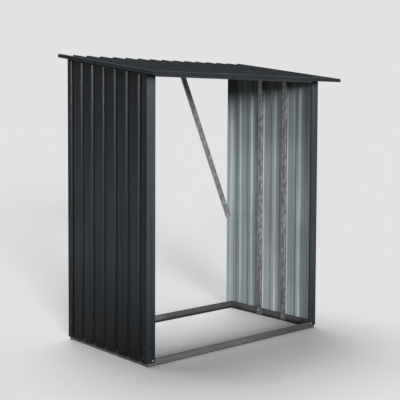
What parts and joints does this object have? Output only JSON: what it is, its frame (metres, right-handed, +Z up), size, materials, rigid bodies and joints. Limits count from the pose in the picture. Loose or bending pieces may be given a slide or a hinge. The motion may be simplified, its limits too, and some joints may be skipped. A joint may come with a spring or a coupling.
{
  "type": "log store",
  "caption": "Open-sided firewood shelter of ribbed sheet steel: two side walls on a low base frame, a single-pitch ribbed roof, inner struts and rear braces",
  "frame": {"origin": "ground level, in the middle of the roof's footprint", "axes": "+X to the right across the open low front, +Y from the front to the high rear, +Z up"},
  "size_m": [1.614, 0.986, 1.86],
  "materials": {
    "painted_sheet": "satin anthracite coating",
    "galvanised_frame": "hot-dip galvanised, dull spangle"
  },
  "bodies": {
    "root": {"front_left_post": "painted_sheet", "front_right_post": "painted_sheet", "rear_left_post": "painted_sheet", "rear_right_post": "painted_sheet", "left_wall_front_sheet": "painted_sheet", "left_wall_rear_sheet": "painted_sheet", "right_wall_front_sheet": "painted_sheet", "right_wall_rear_sheet": "painted_sheet", "roof_sheet_1": "painted_sheet", "roof_sheet_2": "painted_sheet", "roof_sheet_3": "painted_sheet", "roof_left_trim": "painted_sheet", "roof_right_trim": "painted_sheet", "roof_front_trim": "painted_sheet", "base_front_rail": "galvanised_frame", "base_rear_rail": "galvanised_frame", "base_left_rail": "galvanised_frame", "base_right_rail": "galvanised_frame", "top_front_rail": "galvanised_frame", "top_rear_rail": "galvanised_frame", "top_left_rail": "galvanised_frame", "top_right_rail": "galvanised_frame", "left_wall_strut_1": "galvanised_frame", "left_wall_strut_2": "galvanised_frame", "right_wall_strut_1": "galvanised_frame", "right_wall_strut_2": "galvanised_frame", "left_rear_brace": "galvanised_frame", "right_rear_brace": "galvanised_frame"}
  },
  "joints": []
}
